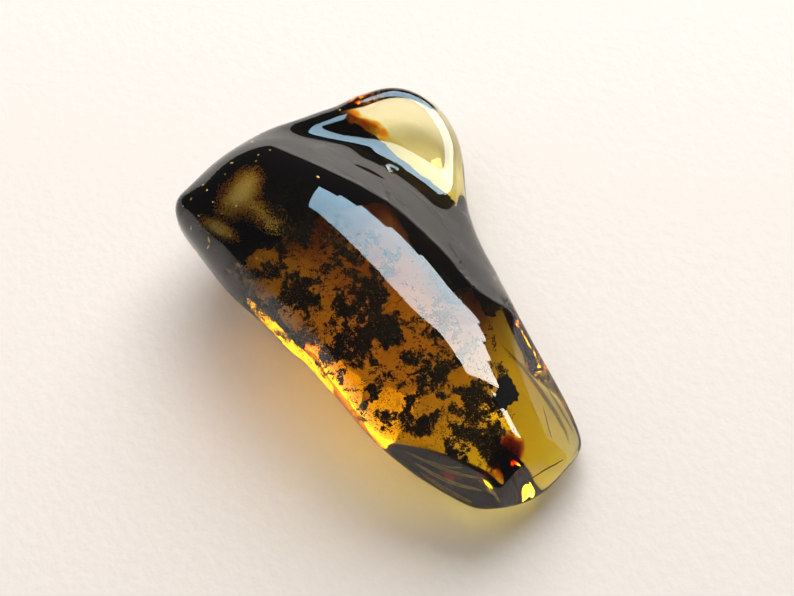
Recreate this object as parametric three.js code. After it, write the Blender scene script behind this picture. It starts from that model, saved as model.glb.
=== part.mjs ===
// A polished piece of amber: one solid body of fossil resin.
//
// Frame: millimetres, +Z up, +X along the length towards the narrow clear end,
// origin at the middle of the bounding box on the flat resting face (z = 0).
//
// The body is the zero level of a smooth field made of a few ground surfaces:
// an outline wall, a log-like dome, a lower shelf beside it, a flat side,
// three facets at the narrow end and the flat base, each met with its own edge
// rounding. The underside lifts off the flat under the long bevel and the wide end.
import * as THREE from 'three';

// ---------------------------------------------------------------- dimensions
// outline of the widest section, as radii every 3 degrees about POLE (from +X
// towards +Y), used as the control values of a closed cubic B-spline
const OUTLINE = [
  25.02, 25.32, 25.50, 25.53, 25.44, 25.28, 25.19, 25.28, 25.00, 23.67, 21.79, 19.87,
  18.25, 17.01, 16.08, 15.33, 14.70, 14.19, 13.80, 13.54, 13.39, 13.33, 13.31, 13.31,
  13.28, 13.21, 13.11, 13.01, 12.94, 12.94, 13.00, 13.14, 13.35, 13.63, 13.99, 14.43,
  14.99, 15.71, 16.68, 17.94, 19.46, 21.08, 22.55, 23.75, 24.65, 25.32, 25.77, 25.99,
  25.95, 25.62, 25.08, 24.48, 23.97, 23.60, 23.31, 23.04, 22.81, 22.65, 22.59, 22.58,
  22.54, 22.42, 22.23, 22.06, 21.98, 21.98, 22.04, 22.12, 22.20, 22.31, 22.50, 22.69,
  22.20, 20.92, 19.52, 18.30, 17.31, 16.46, 15.68, 14.95, 14.25, 13.58, 12.99, 12.48,
  12.05, 11.69, 11.38, 11.13, 10.94, 10.78, 10.66, 10.55, 10.45, 10.36, 10.29, 10.27,
  10.31, 10.43, 10.59, 10.79, 11.00, 11.24, 11.52, 11.87, 12.30, 12.82, 13.42, 14.09,
  14.83, 15.62, 16.43, 17.24, 18.07, 18.98, 20.02, 21.18, 22.41, 23.60, 24.18, 24.62];
const POLE = [-1.109, -2.633];          // where the outline's pole sits in the frame

const RIM_Z = 5.6;                       // height of the widest section at the pole
const RIM_Z_PER_Y = -0.13;               // it climbs towards the -Y side
const WALL_ABOVE = { a: 8.0, slope: 0.75 };   // how the wall leans in above the rim
const WALL_UPRIGHT = 0.45;               // it leans less at the corner of the wide end
const WALL_BELOW = { a: 3.0, slope: 1.4 };    // and how it rolls under below it
const WALL_BELOW_LOSS = 0.9;             // it rolls under less from x = 12 to x = 18

const CREST_Z = 15.4;                    // top of the dome
const CREST_X = -6.0;
const CREST_Y = -3.6;
const CREST_Y_PER_X = 0.10;
const FLANK_RIGHT = { a: 13.0, slope: 1.22 };
const FLANK_RIGHT_LOSS = 0.50;           // the belly flattens from x = 2 to x = 15
const FLANK_LEFT = { a: 7.0, slope: 0.80 };
const FLANK_LEFT_GAIN = 0.60;            // the left flank steepens from x = 4 to x = 18
const FALL_NARROW = { a: 18.0, slope: 0.50 };
const FALL_WIDE = { a: 12.0, slope: 0.55 };

const SIDE = { azimuth: 62.7, lean: 43, at: [14.9, 4.5, 9.1], round: 1.6 };   // flatter side of the narrow end
const SHELF = { azimuth: 48, lean: 11, at: [-14, 12.5, 7.4] };   // thin clear lobe
const SHELF_FALL = { a: 3.0, slope: 0.6 };    // the shelf drops away beyond x = -1
const SHELF_FILLET = 2.4;
const SHELF_FILLET_LOSS = 1.4;           // tighter towards the wide end
const EDGE_ROUND = 3.2;                  // dome to wall
const EDGE_ROUND_SHARP = 1.0;            // the same edge beside the ground facets
const EDGE_LOSS_LOBE = 1.2;              // tighter again around the lobe,
const EDGE_LOSS_TIP = 0.3;               // at its far tip
const EDGE_LOSS_SIDE = 2.6;              // and along the flat side
const BASE_ROUND = 1.0;                  // wall to resting face
const LIFT_BEVEL = { a: 5.0, slope: 0.20 };   // underside lift under the bevel
const LIFT_WIDE = { a: 5.0, slope: 0.30 };    // and under the wide end

const LOW_ROUND = 0.45;                  // a wider facet rounding tightens to this at its lower edge
const FACETS = [                         // outward normal, a point on it, edge rounding
  { n: [0.8464, 0.1833, 0.5001], at: [22.896, 3.136, 5.855], round: 1.3 },   // end face
  { n: [0.5712, -0.6938, 0.4385], at: [18.837, -4.040, 8.059], round: 0.45 }, // long bevel
  { n: [0.8647, -0.3114, 0.3940], at: [23.095, -1.148, 7.088], round: 0.22 }, // small corner facet
];

const CELL = 0.95;                       // size of the surface triangles

// ---------------------------------------------------------------- the field
const hyp = (s, c) => c.slope * (Math.sqrt(s * s + c.a * c.a) - c.a);
const smax = (a, b, k) => {
  const h = Math.max(k - Math.abs(a - b), 0) / k;
  return Math.max(a, b) + h * h * k * 0.25;
};
const smin = (a, b, k) => -smax(-a, -b, k);
const sstep = (t) => {
  const u = Math.min(Math.max(t, 0), 1);
  return u * u * u * (u * (6 * u - 15) + 10);
};
function radius(theta) {
  const n = OUTLINE.length;
  let u = (theta / (2 * Math.PI)) * n;
  u -= Math.floor(u / n) * n;
  const i = Math.floor(u), f = u - i;
  const c = (k) => OUTLINE[(i + k + 2 * n) % n];
  return ((1 - f) ** 3 * c(-1) + (3 * f ** 3 - 6 * f ** 2 + 4) * c(0)
    + (-3 * f ** 3 + 3 * f ** 2 + 3 * f + 1) * c(1) + f ** 3 * c(2)) / 6;
}
const lean = (azimuth, angle) => {
  const a = THREE.MathUtils.degToRad(azimuth), t = THREE.MathUtils.degToRad(angle);
  return [Math.cos(a) * Math.sin(t), Math.sin(a) * Math.sin(t), Math.cos(t)];
};
const unit = (n) => {
  const v = new THREE.Vector3(...n).normalize();
  return [v.x, v.y, v.z];
};
const above = (p, n, at) => (p[0] - at[0]) * n[0] + (p[1] - at[1]) * n[1] + (p[2] - at[2]) * n[2];
const SHELF_N = lean(SHELF.azimuth, SHELF.lean);
const SIDE_N = lean(SIDE.azimuth, SIDE.lean);
const FACET_N = FACETS.map((f) => unit(f.n));

// negative inside the stone; p is measured from the outline's pole
function field(p) {
  const [x, y, z] = p;
  const theta = Math.atan2(y, x), r = Math.hypot(x, y) + 1e-9;
  const R = radius(theta), dR = (radius(theta + 1e-3) - radius(theta - 1e-3)) / 2e-3;
  let wall = (r - R) / Math.sqrt(1 + (dR / Math.max(R, 1)) ** 2);
  const rim = RIM_Z + RIM_Z_PER_Y * y;
  const upright = 1 - (WALL_UPRIGHT / WALL_ABOVE.slope) * sstep((-4 - x) / 12) * sstep((3 - y) / 9);
  const below = { a: WALL_BELOW.a, slope: WALL_BELOW.slope - WALL_BELOW_LOSS * sstep((x - 12) / 6) };
  wall += hyp(Math.max(z - rim, 0), WALL_ABOVE) * upright + hyp(Math.max(rim - z, 0), below);

  const s = y - (CREST_Y + CREST_Y_PER_X * x);
  const left = (FLANK_LEFT.slope + FLANK_LEFT_GAIN * sstep((x - 4) / 14)) / FLANK_LEFT.slope;
  const right = 1 - (FLANK_RIGHT_LOSS / FLANK_RIGHT.slope) * sstep((x - 2) / 13);
  const across = s > 0 ? hyp(s, FLANK_RIGHT) * right : hyp(s, FLANK_LEFT) * left;
  const t = x - CREST_X;
  const along = t > 0 ? hyp(t, FALL_NARROW) : hyp(t, FALL_WIDE);
  let top = (z - (CREST_Z - across - along)) * 0.85;

  top = smax(top, above(p, SIDE_N, SIDE.at), SIDE.round);
  const shelf = above(p, SHELF_N, SHELF.at) + hyp(Math.max(x + 1, 0), SHELF_FALL);
  top = smin(top, shelf, SHELF_FILLET - SHELF_FILLET_LOSS * sstep((-13 - x) / 5));
  const k = EDGE_ROUND - (EDGE_ROUND - EDGE_ROUND_SHARP) * sstep((x - 8) / 7) * sstep((3 - y) / 5)
    - EDGE_LOSS_LOBE * sstep((y - 7) / 4) * sstep((-6 - x) / 6)
    - EDGE_LOSS_TIP * sstep((-14 - x) / 3) * sstep((y - 8) / 3)
    - EDGE_LOSS_SIDE * sstep((x - 3) / 6) * sstep((y - 2.5) / 3);
  let f = smax(top, wall, k);
  FACETS.forEach((c, i) => {
    const round = c.round - Math.max(c.round - LOW_ROUND, 0) * sstep((5.2 - z) / 2);
    f = smax(f, above(p, FACET_N[i], c.at), round);
  });
  const lift = hyp(Math.max(x - 8, 0), LIFT_BEVEL) * sstep((4 - y) / 4.5) + hyp(Math.max(-13 - x, 0), LIFT_WIDE);
  return smax(f, lift - z, BASE_ROUND);
}
function gradient(p) {
  const e = 1e-3;
  return [0, 1, 2].map((i) => {
    const a = p.slice(), b = p.slice();
    a[i] += e; b[i] -= e;
    return (field(a) - field(b)) / (2 * e);
  });
}

// ---------------------------------------------------------------- the surface
// One vertex in every grid cell the surface passes through, drawn onto the
// surface, and two triangles across every grid edge it crosses.
function skin(h) {
  const lo = [-25.3, -15.7, -1.37], hi = [27.6, 21.4, 17.2];
  const n = lo.map((v, i) => Math.ceil((hi[i] - v) / h) + 1);
  const at = (i, j, k) => (i * n[1] + j) * n[2] + k;
  const F = new Float64Array(n[0] * n[1] * n[2]);
  for (let i = 0; i < n[0]; i++) for (let j = 0; j < n[1]; j++) for (let k = 0; k < n[2]; k++) {
    F[at(i, j, k)] = field([lo[0] + h * i, lo[1] + h * j, lo[2] + h * k]);
  }
  const id = new Int32Array(F.length).fill(-1);
  const verts = [];
  for (let i = 0; i < n[0] - 1; i++) for (let j = 0; j < n[1] - 1; j++) for (let k = 0; k < n[2] - 1; k++) {
    const sum = [0, 0, 0];
    let count = 0;
    for (let c = 0; c < 8; c++) {
      const a = [c & 1, (c >> 1) & 1, (c >> 2) & 1];
      for (let d = 0; d < 3; d++) {
        if (a[d]) continue;
        const b = a.slice(); b[d] = 1;
        const fa = F[at(i + a[0], j + a[1], k + a[2])], fb = F[at(i + b[0], j + b[1], k + b[2])];
        if ((fa < 0) === (fb < 0)) continue;
        const t = fa / (fa - fb);
        for (let q = 0; q < 3; q++) sum[q] += a[q] + (q === d ? t : 0);
        count++;
      }
    }
    if (!count) continue;
    let p = [lo[0] + h * (i + sum[0] / count), lo[1] + h * (j + sum[1] / count), lo[2] + h * (k + sum[2] / count)];
    for (let step = 0; step < 8; step++) {
      const f = field(p), g = gradient(p);
      const m = Math.max(g[0] ** 2 + g[1] ** 2 + g[2] ** 2, 1e-6);
      const s = Math.min(Math.max(f / m, -h), h);
      p = p.map((v, q) => v - s * g[q]);
    }
    if (Math.abs(p[2]) < 1e-4) p[2] = 0;
    id[at(i, j, k)] = verts.length;
    verts.push(p);
  }
  const tris = [];
  const gap = (a, b) => Math.hypot(a[0] - b[0], a[1] - b[1], a[2] - b[2]);
  const step = [[1, 0, 0], [0, 1, 0], [0, 0, 1]];
  for (let i = 1; i < n[0] - 1; i++) for (let j = 1; j < n[1] - 1; j++) for (let k = 1; k < n[2] - 1; k++) {
    for (let d = 0; d < 3; d++) {
      const inA = F[at(i, j, k)] < 0;
      const inB = F[at(i + step[d][0], j + step[d][1], k + step[d][2])] < 0;
      if (inA === inB) continue;
      const u = step[(d + 1) % 3], v = step[(d + 2) % 3];
      const cell = (a, b) => id[at(i - a * u[0] - b * v[0], j - a * u[1] - b * v[1], k - a * u[2] - b * v[2])];
      let q = [cell(1, 1), cell(0, 1), cell(0, 0), cell(1, 0)];
      if (!inA) q = q.reverse();
      const [A, B, C, D] = q;
      if (gap(verts[A], verts[C]) <= gap(verts[B], verts[D])) tris.push(A, B, C, A, C, D);
      else tris.push(A, B, D, B, C, D);
    }
  }
  const geometry = new THREE.BufferGeometry();
  geometry.setAttribute('position', new THREE.Float32BufferAttribute(
    verts.flatMap((p) => [p[0] + POLE[0], p[1] + POLE[1], p[2]]), 3));
  geometry.setIndex(tris);
  return geometry;
}

const resin = new THREE.MeshStandardMaterial({
  color: 0xb9720f, roughness: 0.08, metalness: 0, transparent: true, opacity: 0.85,
});
const amber = new THREE.Mesh(skin(CELL), resin);
amber.name = 'amber';

const group = new THREE.Group();
group.name = 'amber_piece';
group.add(amber);
export default group;
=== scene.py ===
import bpy, math
import numpy as np
from mathutils import Matrix, Vector


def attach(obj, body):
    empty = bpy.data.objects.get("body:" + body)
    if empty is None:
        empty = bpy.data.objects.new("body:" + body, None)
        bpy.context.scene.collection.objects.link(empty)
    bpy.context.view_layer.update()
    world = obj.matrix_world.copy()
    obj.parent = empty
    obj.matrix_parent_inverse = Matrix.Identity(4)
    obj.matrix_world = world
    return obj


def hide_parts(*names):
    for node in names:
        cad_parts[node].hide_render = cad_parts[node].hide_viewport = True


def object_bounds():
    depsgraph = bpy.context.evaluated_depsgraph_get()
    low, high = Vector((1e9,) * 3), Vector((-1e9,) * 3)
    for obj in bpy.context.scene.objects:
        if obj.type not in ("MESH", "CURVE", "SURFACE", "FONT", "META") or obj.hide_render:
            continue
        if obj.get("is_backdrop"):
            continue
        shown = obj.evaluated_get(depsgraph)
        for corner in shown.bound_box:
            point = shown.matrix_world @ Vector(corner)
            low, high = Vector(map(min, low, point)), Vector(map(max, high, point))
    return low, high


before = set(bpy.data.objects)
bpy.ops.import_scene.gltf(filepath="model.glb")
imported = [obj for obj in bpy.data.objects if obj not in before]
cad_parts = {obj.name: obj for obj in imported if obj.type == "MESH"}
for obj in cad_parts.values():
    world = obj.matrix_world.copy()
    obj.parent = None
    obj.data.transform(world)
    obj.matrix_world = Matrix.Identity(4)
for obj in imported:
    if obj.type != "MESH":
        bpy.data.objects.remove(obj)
CAD_BOX = [list(map(float, c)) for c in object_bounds()]

# =====================================================================
# Lengths below are millimetres measured from the outline's pole; row() turns
# them into metres in the shared frame.
# =====================================================================
POLE = np.array([-1.109, -2.633, 0.0])


def row(P):
    return (np.asarray(P, float) + POLE) * 0.001


# ------------------------------------------------------------- stone's shape
# the same ground surfaces as the CAD solid, meshed more finely
OUTLINE = np.array([
    25.02, 25.32, 25.50, 25.53, 25.44, 25.28, 25.19, 25.28, 25.00, 23.67, 21.79, 19.87,
    18.25, 17.01, 16.08, 15.33, 14.70, 14.19, 13.80, 13.54, 13.39, 13.33, 13.31, 13.31,
    13.28, 13.21, 13.11, 13.01, 12.94, 12.94, 13.00, 13.14, 13.35, 13.63, 13.99, 14.43,
    14.99, 15.71, 16.68, 17.94, 19.46, 21.08, 22.55, 23.75, 24.65, 25.32, 25.77, 25.99,
    25.95, 25.62, 25.08, 24.48, 23.97, 23.60, 23.31, 23.04, 22.81, 22.65, 22.59, 22.58,
    22.54, 22.42, 22.23, 22.06, 21.98, 21.98, 22.04, 22.12, 22.20, 22.31, 22.50, 22.69,
    22.20, 20.92, 19.52, 18.30, 17.31, 16.46, 15.68, 14.95, 14.25, 13.58, 12.99, 12.48,
    12.05, 11.69, 11.38, 11.13, 10.94, 10.78, 10.66, 10.55, 10.45, 10.36, 10.29, 10.27,
    10.31, 10.43, 10.59, 10.79, 11.00, 11.24, 11.52, 11.87, 12.30, 12.82, 13.42, 14.09,
    14.83, 15.62, 16.43, 17.24, 18.07, 18.98, 20.02, 21.18, 22.41, 23.60, 24.18, 24.62])
FACETS = [((0.8464, 0.1833, 0.5001), (22.896, 3.136, 5.855), 1.3),
          ((0.5712, -0.6938, 0.4385), (18.837, -4.040, 8.059), 0.45),
          ((0.8647, -0.3114, 0.3940), (23.095, -1.148, 7.088), 0.22)]


def smax(a, b, k):
    h = np.maximum(k - np.abs(a - b), 0.0) / k
    return np.maximum(a, b) + h * h * k * 0.25


def smin(a, b, k):
    return -smax(-a, -b, k)


def sstep(t):
    t = np.clip(t, 0, 1)
    return t * t * t * (t * (6 * t - 15) + 10)


def hyp(s, a, slope):
    return slope * (np.sqrt(s * s + a * a) - a)


def bspline(theta):
    n = len(OUTLINE)
    u = (theta / (2 * np.pi) * n) % n
    i = np.floor(u).astype(int)
    f = u - i
    c = lambda k: OUTLINE[(i + k) % n]
    return ((1 - f) ** 3 * c(-1) + (3 * f ** 3 - 6 * f ** 2 + 4) * c(0)
            + (-3 * f ** 3 + 3 * f ** 2 + 3 * f + 1) * c(1) + f ** 3 * c(2)) / 6


def plane(P, n, at):
    n = np.array(n, float)
    n /= np.linalg.norm(n)
    return (P - np.array(at, float)) @ n


def lean(azimuth, angle):
    a, t = math.radians(azimuth), math.radians(angle)
    return (math.cos(a) * math.sin(t), math.sin(a) * math.sin(t), math.cos(t))


def dome_height(x, y):
    s = y - (-3.6 + 0.10 * x)
    left = 0.80 + 0.60 * sstep((x - 4) / 14)
    right = 1.22 - 0.50 * sstep((x - 2) / 13)
    across = np.where(s > 0, hyp(s, 13.0, 1.0) * right, hyp(s, 7.0, 1.0) * left)
    t = x + 6.0
    along = np.where(t > 0, hyp(t, 18.0, 0.50), hyp(t, 12.0, 0.55))
    return 15.4 - across - along


def stone(P):
    x, y, z = P[..., 0], P[..., 1], P[..., 2]
    th = np.arctan2(y, x)
    r = np.sqrt(x * x + y * y) + 1e-9
    R = bspline(th)
    dR = (bspline(th + 1e-3) - bspline(th - 1e-3)) / 2e-3
    wall = (r - R) / np.sqrt(1 + (dR / np.maximum(R, 1)) ** 2)
    rim = 5.6 - 0.13 * y
    tilt = 0.75 - 0.45 * sstep((-4 - x) / 12) * sstep((3 - y) / 9)
    wall = wall + hyp(np.maximum(z - rim, 0), 8.0, 1.0) * tilt + hyp(np.maximum(rim - z, 0), 3.0, 1.4 - 0.9 * sstep((x - 12) / 6))
    top = (z - dome_height(x, y)) * 0.85
    top = smax(top, plane(P, lean(62.7, 43), (14.9, 4.5, 9.1)), 1.6)
    shelf = plane(P, lean(48, 11), (-14, 12.5, 7.4)) + hyp(np.maximum(x + 1, 0), 3.0, 0.6)
    top = smin(top, shelf, 2.4 - 1.4 * sstep((-13 - x) / 5))
    k = (3.2 - 2.2 * sstep((x - 8) / 7) * sstep((3 - y) / 5) - 1.2 * sstep((y - 7) / 4) * sstep((-6 - x) / 6)
         - 0.3 * sstep((-14 - x) / 3) * sstep((y - 8) / 3) - 2.6 * sstep((x - 3) / 6) * sstep((y - 2.5) / 3))
    f = smax(top, wall, k)
    for n, at, k in FACETS:
        # the rounding of each facet tightens towards its lower edge
        f = smax(f, plane(P, n, at), k - (k - 0.45) * sstep((5.2 - z) / 2) if k > 0.45 else k)
    rise = (hyp(np.maximum(x - 8, 0), 5.0, 0.20) * sstep((4 - y) / 4.5)
            + hyp(np.maximum(-13 - x, 0), 5.0, 0.30))
    return smax(f, rise - z, 1.0)


def gradient(fn, P, e=1e-3):
    g = np.empty(P.shape)
    for i in range(3):
        d = np.zeros(3)
        d[i] = e
        g[..., i] = (fn(P + d) - fn(P - d)) / (2 * e)
    return g


def skin(fn, h, lo, hi, steps=5):
    """Closed quad mesh of fn's zero level: a vertex in every cell it passes through."""
    lo = np.array(lo, float)
    n = np.ceil((np.array(hi) - lo) / h).astype(int) + 1
    ax = [lo[i] + h * np.arange(n[i]) for i in range(3)]
    F = np.empty(n, np.float32)
    X, Y = np.meshgrid(ax[0], ax[1], indexing="ij")
    for k in range(n[2]):
        F[:, :, k] = fn(np.stack([X, Y, np.full_like(X, ax[2][k])], -1))
    S = F < 0
    corners = [(i, j, k) for i in (0, 1) for j in (0, 1) for k in (0, 1)]
    count = sum(S[i:n[0] - 1 + i, j:n[1] - 1 + j, k:n[2] - 1 + k].astype(np.int8) for i, j, k in corners)
    active = (count > 0) & (count < 8)
    idx = -np.ones(active.shape, int)
    cells = np.argwhere(active)
    idx[active] = np.arange(len(cells))
    acc, num = np.zeros((len(cells), 3)), np.zeros(len(cells))
    for a in corners:
        for d in range(3):
            if a[d]:
                continue
            b = list(a)
            b[d] = 1
            fa = F[cells[:, 0] + a[0], cells[:, 1] + a[1], cells[:, 2] + a[2]].astype(float)
            fb = F[cells[:, 0] + b[0], cells[:, 1] + b[1], cells[:, 2] + b[2]].astype(float)
            m = (fa < 0) != (fb < 0)
            t = np.where(m, fa / np.where(m, fa - fb, 1), 0)
            acc += (np.array(a, float) + np.outer(t, np.eye(3)[d])) * m[:, None]
            num += m
    V = lo + h * (cells + acc / num[:, None])
    quads = []
    for d in range(3):
        e1, e2 = [(1, 2), (2, 0), (0, 1)][d]
        A, B = np.take(S, range(n[d] - 1), axis=d), np.take(S, range(1, n[d]), axis=d)
        ed = np.argwhere(A != B)
        ed = ed[(ed[:, e1] > 0) & (ed[:, e2] > 0) & (ed[:, e1] < n[e1] - 1) & (ed[:, e2] < n[e2] - 1)]
        inside = S[ed[:, 0], ed[:, 1], ed[:, 2]]

        def cell(o1, o2):
            q = ed.copy()
            q[:, e1] += o1
            q[:, e2] += o2
            return idx[q[:, 0], q[:, 1], q[:, 2]]
        q = np.stack([cell(-1, -1), cell(0, -1), cell(0, 0), cell(-1, 0)], 1)
        q[~inside] = q[~inside][:, ::-1]
        quads.append(q)
    for _ in range(steps):
        f, g = fn(V), gradient(fn, V)
        V = V - np.clip(f / np.maximum((g * g).sum(1), 1e-6), -h, h)[:, None] * g
    return V, np.concatenate(quads)


# ------------------------------------------------------------- seeded noise
def lattice(i, j, k, seed):
    with np.errstate(over="ignore"):
        n = (i.astype(np.uint32) * np.uint32(73856093)) ^ (j.astype(np.uint32) * np.uint32(19349663)) \
            ^ (k.astype(np.uint32) * np.uint32(83492791)) ^ np.uint32((seed * 2654435761) & 0xffffffff)
        n = (n ^ (n >> np.uint32(15))) * np.uint32(2246822519)
        n = (n ^ (n >> np.uint32(13))) * np.uint32(3266489917)
        n = n ^ (n >> np.uint32(16))
    return n.astype(np.float64) / 2147483647.5 - 1.0


def noise(P, seed):
    P = np.asarray(P, float)
    i = np.floor(P).astype(np.int64)
    f = P - i
    u = f * f * f * (f * (f * 6 - 15) + 10)
    out = 0.0
    for a in (0, 1):
        for b in (0, 1):
            for c in (0, 1):
                w = ((u[..., 0] if a else 1 - u[..., 0]) * (u[..., 1] if b else 1 - u[..., 1])
                     * (u[..., 2] if c else 1 - u[..., 2]))
                out = out + w * lattice(i[..., 0] + a, i[..., 1] + b, i[..., 2] + c, seed)
    return out


def fbm(P, octaves, seed, gain=0.55):
    P = np.asarray(P, float)
    out, amp, tot = 0.0, 1.0, 0.0
    for o in range(octaves):
        out = out + amp * noise(P * 2.03 ** o + 17.3 * o, seed + o)
        tot += amp
        amp *= gain
    return out / tot


# ------------------------------------------------------------- camera geometry
ELEV, AZIM, LENS = math.radians(62.0), math.radians(57.7), 62.0
W, H = 794, 596
FPX = LENS / 36 * W
BACK = np.array([math.sin(AZIM) * math.cos(ELEV), -math.cos(AZIM) * math.cos(ELEV), math.sin(ELEV)])
RIGHT = np.array([math.cos(AZIM), math.sin(AZIM), 0.0])
UP = np.cross(BACK, RIGHT)
EYE = np.array([0, 0, 6.0]) + RIGHT * 1.9 + BACK * FPX * 0.1
IOR = 1.54


def look(px):
    """Where the sight line through an image point meets the stone, the way it bends into it, and the normal."""
    px = np.atleast_2d(np.asarray(px, float))
    d = (px[:, 0:1] - W / 2) / FPX * RIGHT + (H / 2 - px[:, 1:2]) / FPX * UP - BACK
    d /= np.linalg.norm(d, axis=1, keepdims=True)
    t = np.full(len(px), 100.0)
    for _ in range(70):
        t = t + np.clip(stone(EYE + d * t[:, None]), -0.5, 8.0) * 0.6
    P = EYE + d * t[:, None]
    n = gradient(stone, P)
    n /= np.linalg.norm(n, axis=1, keepdims=True)
    c = -(d * n).sum(1)
    eta = 1 / IOR
    k = 1 - eta * eta * (1 - c * c)
    r = eta * d + (eta * c - np.sqrt(np.maximum(k, 0)))[:, None] * n
    ok = (t < 175) & (np.abs(stone(P)) < 0.05)
    return P, r, n, ok


def seen(px, depth):
    """Points inside the stone that show at these image points, at a path depth in mm."""
    P, r, n, ok = look(px)
    return P + r * np.asarray(depth, float).reshape(-1, 1), ok


def seen_at(px, z):
    """The same, where the bent sight line reaches height z."""
    P, r, n, ok = look(px)
    t = (z - P[:, 2]) / np.minimum(r[:, 2], -0.05)
    return P + r * np.maximum(t, 0)[:, None], ok


# ------------------------------------------------------------- mesh helpers
def piece(name, V, faces, material, smooth=True):
    me = bpy.data.meshes.new(name)
    V = row(V)
    faces = np.asarray(faces)
    m = faces.shape[1]
    me.vertices.add(len(V))
    me.vertices.foreach_set("co", V.astype(np.float32).ravel())
    me.loops.add(faces.size)
    me.loops.foreach_set("vertex_index", faces.astype(np.int32).ravel())
    me.polygons.add(len(faces))
    me.polygons.foreach_set("loop_start", np.arange(0, faces.size, m, dtype=np.int32))
    me.polygons.foreach_set("loop_total", np.full(len(faces), m, dtype=np.int32))
    me.polygons.foreach_set("use_smooth", np.full(len(faces), smooth, dtype=bool))
    me.update(calc_edges=True)
    me.validate()
    ob = bpy.data.objects.new(name, me)
    bpy.context.scene.collection.objects.link(ob)
    me.materials.append(material)
    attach(ob, "root")
    return ob


def basis(n):
    n = n / np.linalg.norm(n, axis=1, keepdims=True)
    a = np.where(np.abs(n[:, 2:3]) < 0.9, np.array([[0, 0, 1.0]]), np.array([[1.0, 0, 0]]))
    u = np.cross(a, n)
    u /= np.linalg.norm(u, axis=1, keepdims=True)
    return u, np.cross(n, u), n


def flakes(C, size, N, rng, sides=4, flat=0.35, stretch=1.6, rough=0.45):
    """Closed, ragged, flattened grains: a ring of uneven points with a point above and below."""
    n = len(C)
    u, v, w = basis(N)
    a0 = rng.uniform(0, 2 * np.pi, n)
    asp = rng.uniform(1.0, stretch, n)
    ring = []
    for k in range(sides):
        ang = 2 * np.pi * (k + rng.uniform(-0.3, 0.3, n)) / sides
        rad = size * rng.uniform(1 - rough, 1 + rough, n)
        ca, sa = np.cos(ang) * asp, np.sin(ang) / asp
        x, y = ca * np.cos(a0) - sa * np.sin(a0), ca * np.sin(a0) + sa * np.cos(a0)
        ring.append(C + (rad * x)[:, None] * u + (rad * y)[:, None] * v
                    + (size * flat * rng.uniform(-0.4, 0.4, n))[:, None] * w)
    up = C + (size * flat * rng.uniform(0.5, 1.0, n))[:, None] * w
    dn = C - (size * flat * rng.uniform(0.5, 1.0, n))[:, None] * w
    V = np.stack(ring + [up, dn], 1)
    m = sides + 2
    F = []
    for k in range(sides):
        k2 = (k + 1) % sides
        F += [(k, k2, sides), (k2, k, sides + 1)]
    F = np.array(F)[None] + (np.arange(n) * m)[:, None, None]
    return V.reshape(-1, 3), F.reshape(-1, 3)


def joined(parts):
    V, F, o = [], [], 0
    for v, f in parts:
        V.append(v)
        F.append(np.asarray(f) + o)
        o += len(v)
    return np.concatenate(V), np.concatenate(F)


# ------------------------------------------------------------- materials
def new_material(name):
    m = bpy.data.materials.new(name)
    m.use_nodes = True
    nt = m.node_tree
    return m, nt, nt.nodes["Principled BSDF"], nt.nodes["Material Output"]


def node(nt, kind, **kw):
    n = nt.nodes.new(kind)
    for k, v in kw.items():
        if k in n.inputs:
            n.inputs[k].default_value = v
        else:
            setattr(n, k, v)
    return n


def speckle(nt, scale, detail=6.0, rough=0.6):
    co = nt.nodes.new("ShaderNodeTexCoord")
    t = node(nt, "ShaderNodeTexNoise", Scale=scale, Detail=detail, Roughness=rough)
    nt.links.new(co.outputs["Object"], t.inputs["Vector"])
    return t


def ramp(nt, src, stops):
    r = nt.nodes.new("ShaderNodeValToRGB")
    el = r.color_ramp.elements
    while len(el) < len(stops):
        el.new(0.5)
    for e, (p, c) in zip(el, stops):
        e.position = p
        e.color = (*c, 1) if len(c) == 3 else c
    nt.links.new(src, r.inputs["Fac"])
    return r


def see_through(name, colour, ior, absorb, density, roughness=(0.0, 0.03), bump=0.0, scale=160):
    m, nt, b, out = new_material(name)
    b.inputs["Base Color"].default_value = (*colour, 1)
    b.inputs["Transmission Weight"].default_value = 1.0
    b.inputs["IOR"].default_value = ior
    t = speckle(nt, scale, 5.0, 0.55)
    mr = node(nt, "ShaderNodeMapRange")
    mr.inputs["From Min"].default_value, mr.inputs["From Max"].default_value = 0.35, 0.75
    mr.inputs["To Min"].default_value, mr.inputs["To Max"].default_value = roughness
    nt.links.new(t.outputs["Fac"], mr.inputs["Value"])
    nt.links.new(mr.outputs["Result"], b.inputs["Roughness"])
    if bump:
        t2 = speckle(nt, 95, 1.5, 0.4)
        bp = node(nt, "ShaderNodeBump", Strength=0.35, Distance=bump)
        nt.links.new(t2.outputs["Fac"], bp.inputs["Height"])
        nt.links.new(bp.outputs["Normal"], b.inputs["Normal"])
    va = node(nt, "ShaderNodeVolumeAbsorption", Color=(*absorb, 1), Density=density)
    nt.links.new(va.outputs["Volume"], out.inputs["Volume"])
    return m


def solid(name, stops, scale, roughness=(0.5, 0.9), bump=0.00002, specular=0.2, metallic=0.0):
    m, nt, b, out = new_material(name)
    t = speckle(nt, scale)
    r = ramp(nt, t.outputs["Fac"], stops)
    nt.links.new(r.outputs["Color"], b.inputs["Base Color"])
    mr = node(nt, "ShaderNodeMapRange")
    mr.inputs["From Min"].default_value, mr.inputs["From Max"].default_value = 0.3, 0.7
    mr.inputs["To Min"].default_value, mr.inputs["To Max"].default_value = roughness
    nt.links.new(t.outputs["Fac"], mr.inputs["Value"])
    nt.links.new(mr.outputs["Result"], b.inputs["Roughness"])
    bp = node(nt, "ShaderNodeBump", Strength=0.4, Distance=bump)
    nt.links.new(t.outputs["Fac"], bp.inputs["Height"])
    nt.links.new(bp.outputs["Normal"], b.inputs["Normal"])
    b.inputs["Specular IOR Level"].default_value = specular
    b.inputs["Metallic"].default_value = metallic
    return m


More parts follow.
